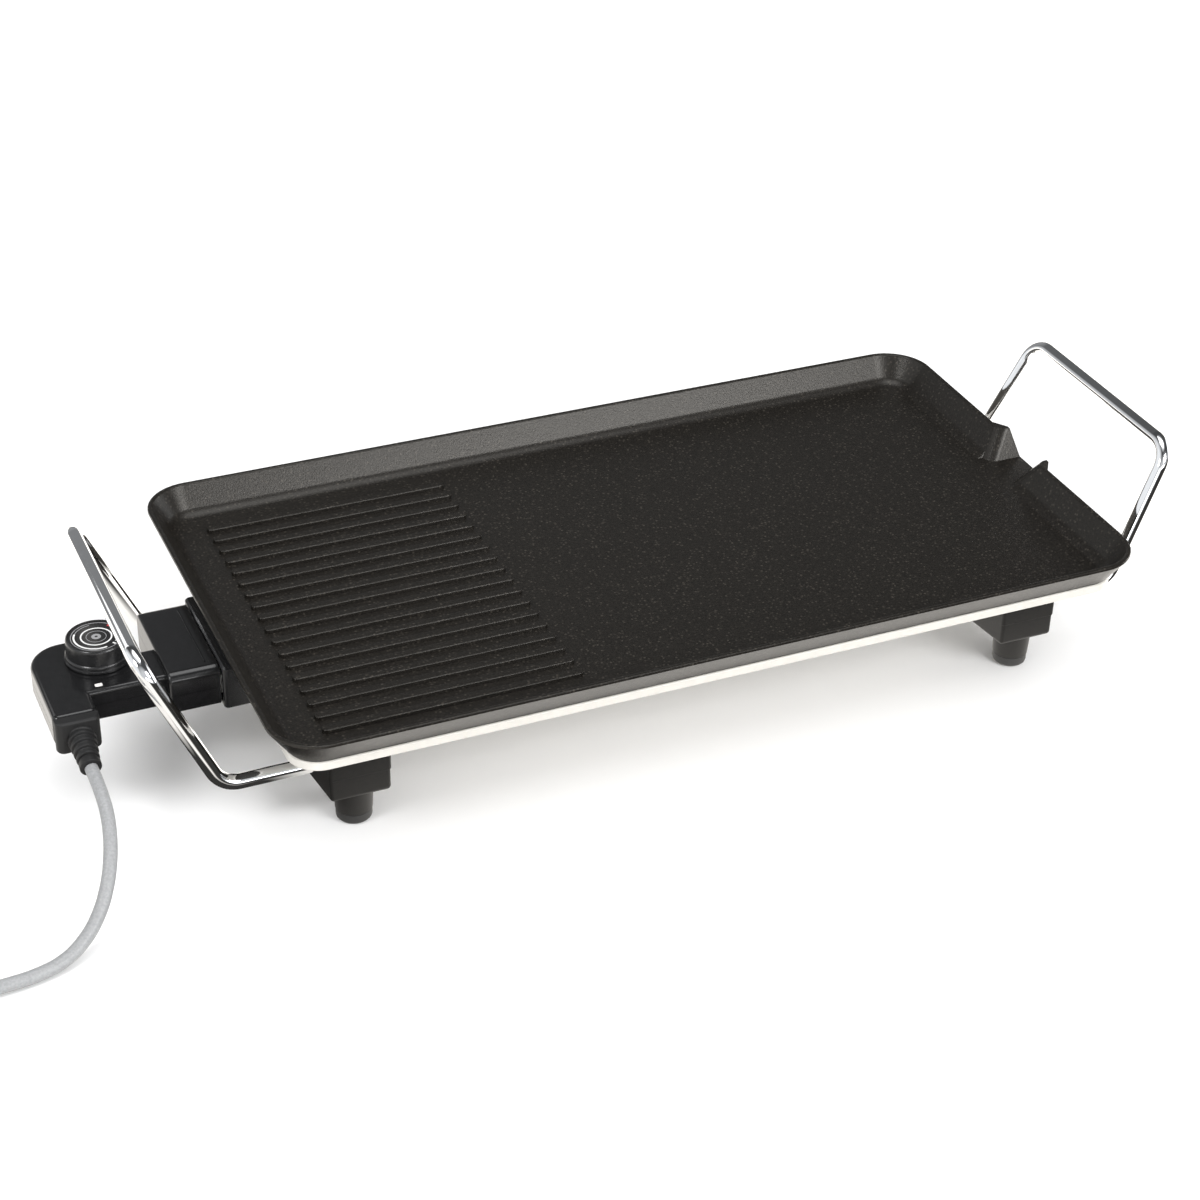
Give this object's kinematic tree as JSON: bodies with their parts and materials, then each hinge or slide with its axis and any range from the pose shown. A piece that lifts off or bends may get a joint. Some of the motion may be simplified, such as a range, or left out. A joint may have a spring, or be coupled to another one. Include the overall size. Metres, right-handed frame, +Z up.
{
  "type": "electric griddle",
  "caption": "Low rectangular electric griddle with a part-ribbed tray, corner feet, chrome wire handles, a pull-off controller with a dial, and a corded plug.",
  "frame": {"origin": "on the table plane, under the centre of the griddle with its handles and controller, without the cord", "axes": "+X along the length, from the controller's end towards the spout's end; +Y across, from the cord's side to the back; +Z up"},
  "size_m": [0.7983, 0.2887, 0.1094],
  "materials": {
    "nonstick_plate": "die-cast, under a fine speckled non-stick coating",
    "pan_coating": "satin cream enamel",
    "chrome_rod": "polished plating",
    "element_sheath": "heat-dulled tube",
    "plated_steel": "zinc plated",
    "screw_steel": "zinc plated",
    "ceramic": "glazed white ceramic",
    "terminal_metal": "plain brass",
    "guard_plastic": "fine matt",
    "controller_plastic": "glossy moulding",
    "probe_metal": "drawn tube",
    "bimetal": "rolled strip",
    "dial_plastic": "satin moulding",
    "dial_print": null,
    "lamp_glass": "small neon bulb",
    "lens_plastic": "translucent lens",
    "bushing_rubber": "matt",
    "relief_rubber": "ribbed, matt",
    "cord_sheath": "grey flexible sheath",
    "tie_strap": "plain strap",
    "plug_plastic": "fine matt",
    "fuse_plastic": "fine matt",
    "pin_brass": "plain brass",
    "foot_plastic": "moulded, matt",
    "pad_rubber": "matt"
  },
  "bodies": {
    "griddle": {"griddle_plate": "nonstick_plate", "base_pan": "pan_coating", "handle_left": "chrome_rod", "handle_right": "chrome_rod", "heating_element": "element_sheath", "element_clamp_left": "plated_steel", "element_clamp_right": "plated_steel", "clamp_screw_left": "screw_steel", "clamp_screw_right": "screw_steel", "element_bush_front": "ceramic", "element_bush_rear": "ceramic", "element_pin_front": "terminal_metal", "element_pin_rear": "terminal_metal", "probe_well": "plated_steel", "socket_guard": "guard_plastic", "guard_screw_front": "screw_steel", "guard_screw_rear": "screw_steel", "foot_front_left": "foot_plastic", "foot_pad_front_left": "pad_rubber", "foot_screw_front_left": "screw_steel", "foot_front_right": "foot_plastic", "foot_pad_front_right": "pad_rubber", "foot_screw_front_right": "screw_steel", "foot_rear_left": "foot_plastic", "foot_pad_rear_left": "pad_rubber", "foot_screw_rear_left": "screw_steel", "foot_rear_right": "foot_plastic", "foot_pad_rear_right": "pad_rubber", "foot_screw_rear_right": "screw_steel"},
    "controller": {"controller_upper_shell": "controller_plastic", "controller_lower_shell": "controller_plastic", "contact_block": "ceramic", "contact_front": "terminal_metal", "contact_rear": "terminal_metal", "contact_arm": "terminal_metal", "probe": "probe_metal", "thermostat_frame": "plated_steel", "bimetal_strip": "bimetal", "pilot_lamp": "lamp_glass", "pilot_lens": "lens_plastic", "cord_bushing": "bushing_rubber", "strain_relief": "relief_rubber", "cord_clamp": "guard_plastic", "cord_clamp_screw": "screw_steel", "shell_screw_1": "screw_steel", "shell_screw_2": "screw_steel", "shell_screw_3": "screw_steel", "shell_screw_4": "screw_steel", "cord_lead": "cord_sheath", "cord_coil": "cord_sheath", "cord_tie": "tie_strap", "cord_tail": "cord_sheath", "plug_body": "plug_plastic", "plug_earth_pin": "pin_brass", "plug_left_pin": "pin_brass", "plug_right_pin": "pin_brass", "plug_fuse_carrier": "fuse_plastic"},
    "dial": {"dial_knob": "dial_plastic", "dial_disc": "dial_print", "dial_spindle": "plated_steel"}
  },
  "joints": [
    {"name": "controller_pull", "type": "slide", "parent": "griddle", "child": "controller", "axis": [-1, 0, 0], "range_m": [0, 0.075]},
    {"name": "dial_turn", "type": "hinge", "parent": "controller", "child": "dial", "pos_m": [-0.2772, 0.005, 0.0648], "axis": [0, 0, 1], "range_deg": [0, 270]}
  ]
}
